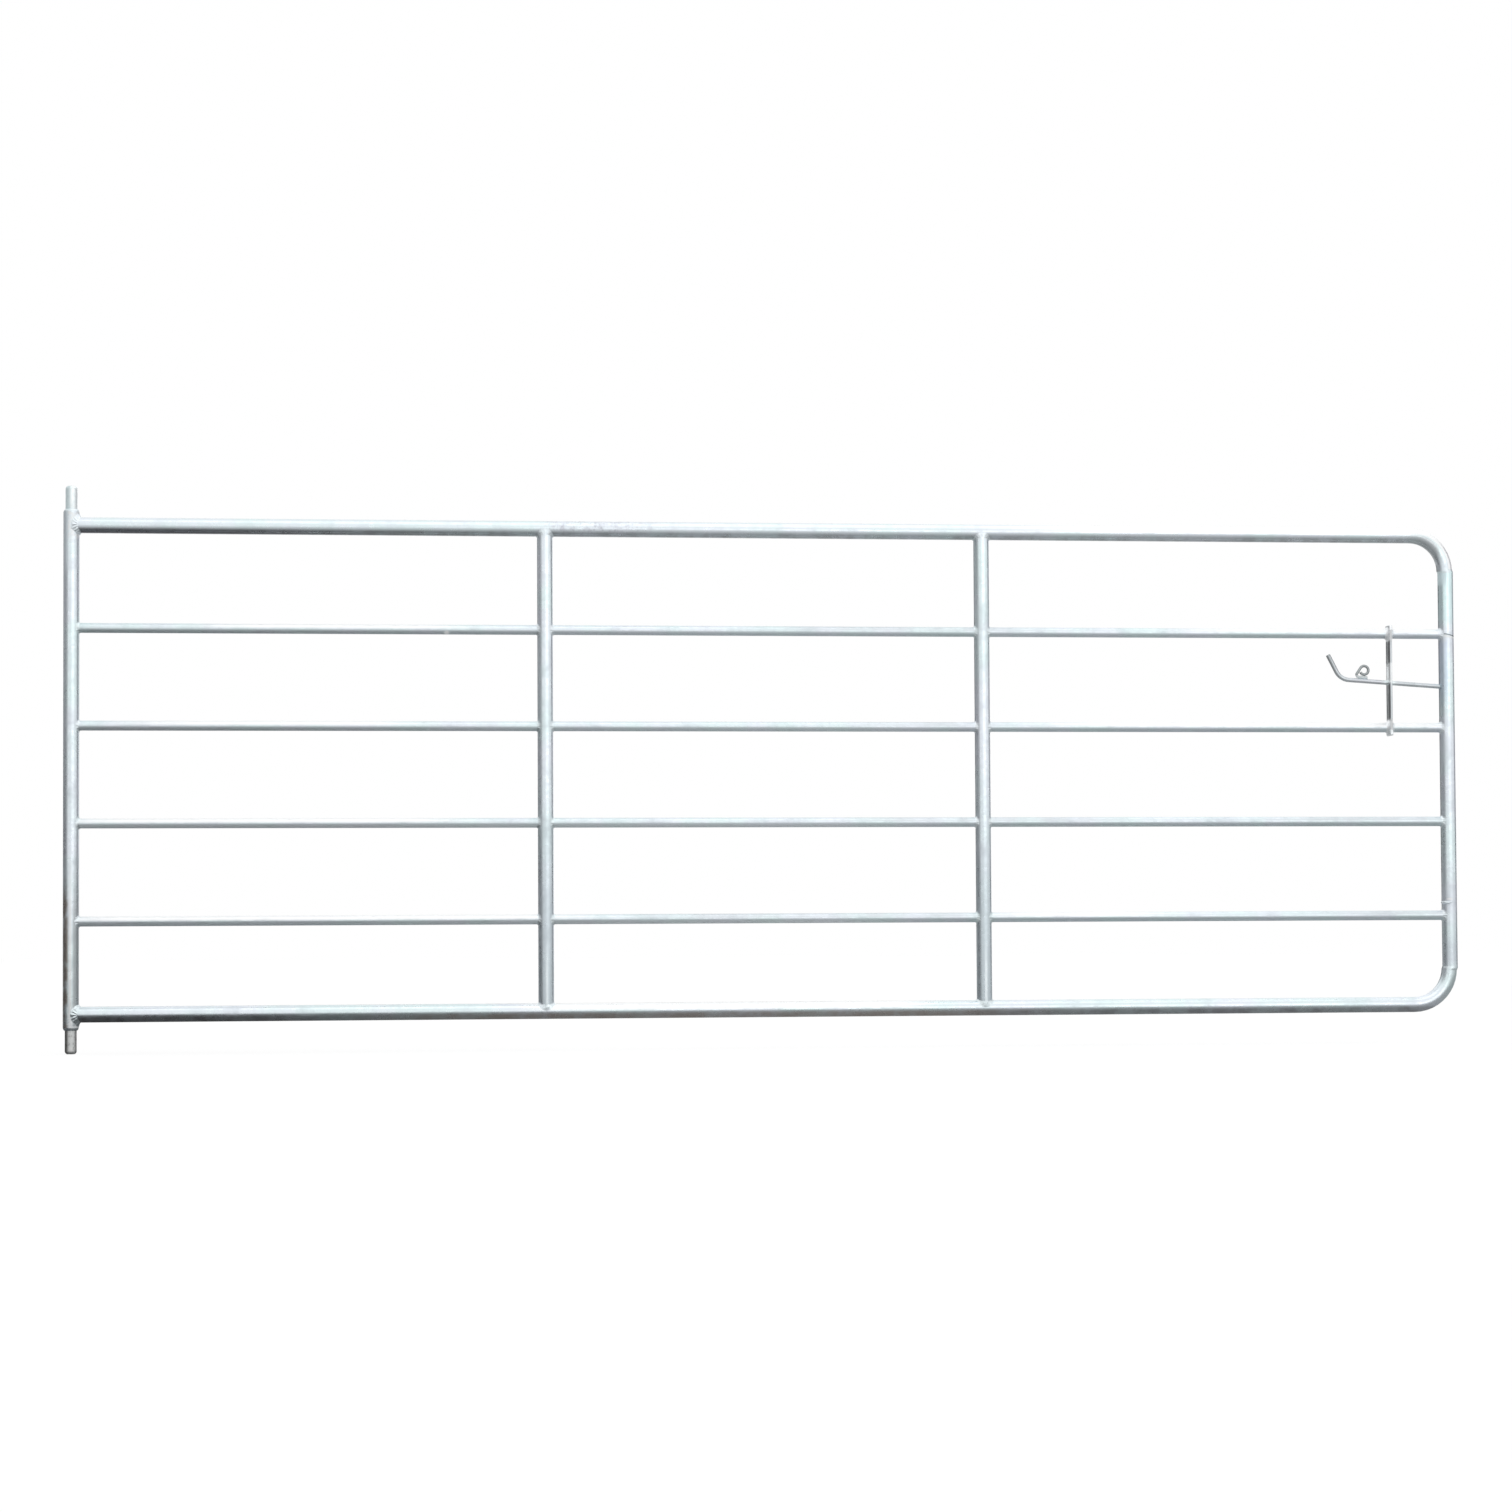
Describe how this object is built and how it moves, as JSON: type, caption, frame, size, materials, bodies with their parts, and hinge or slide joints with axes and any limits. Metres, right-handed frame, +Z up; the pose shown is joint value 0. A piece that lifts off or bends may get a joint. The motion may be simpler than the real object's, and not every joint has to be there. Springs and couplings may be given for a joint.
{
  "type": "galvanised field gate",
  "caption": "Galvanised tubular field gate with level bars, round uprights, rounded closing corners, plain hinge pins and a sliding latch bolt with a padlock eye.",
  "frame": {"origin": "on the hinge line, at the shoulder of the bottom hinge pin", "axes": "+X along the gate from the hinge line to the closing stile, +Y from the front of the gate to the back, +Z up the hinge line"},
  "size_m": [3.0512, 0.0398, 1.213],
  "materials": {
    "galvanised_tube": "hot-dip galvanised, bright with a faint spangle",
    "galvanised_bar": "hot-dip galvanised, dull grey",
    "zinc_coated_weld": "weld beads under lumpy zinc"
  },
  "bodies": {
    "gate": {"hanging_stile": "galvanised_tube", "closing_stile": "galvanised_tube", "top_rail": "galvanised_tube", "second_rail": "galvanised_tube", "third_rail": "galvanised_tube", "fourth_rail": "galvanised_tube", "fifth_rail": "galvanised_tube", "bottom_rail": "galvanised_tube", "left_upright": "galvanised_tube", "right_upright": "galvanised_tube", "top_hinge_pin": "galvanised_bar", "bottom_hinge_pin": "galvanised_bar", "bolt_keeper": "galvanised_bar", "hinge_pin_welds": "zinc_coated_weld", "hanging_stile_welds": "zinc_coated_weld", "closing_stile_welds": "zinc_coated_weld", "corner_butt_welds": "zinc_coated_weld", "left_upright_welds": "zinc_coated_weld", "right_upright_welds": "zinc_coated_weld", "keeper_welds": "zinc_coated_weld"},
    "bolt": {"slide_bolt": "galvanised_bar", "padlock_eye": "galvanised_bar", "padlock_eye_weld": "zinc_coated_weld"}
  },
  "joints": [
    {"name": "bolt_slide", "type": "slide", "parent": "gate", "child": "bolt", "axis": [0.9977, 0, -0.068], "range_m": [-0.024, 0.086]}
  ]
}
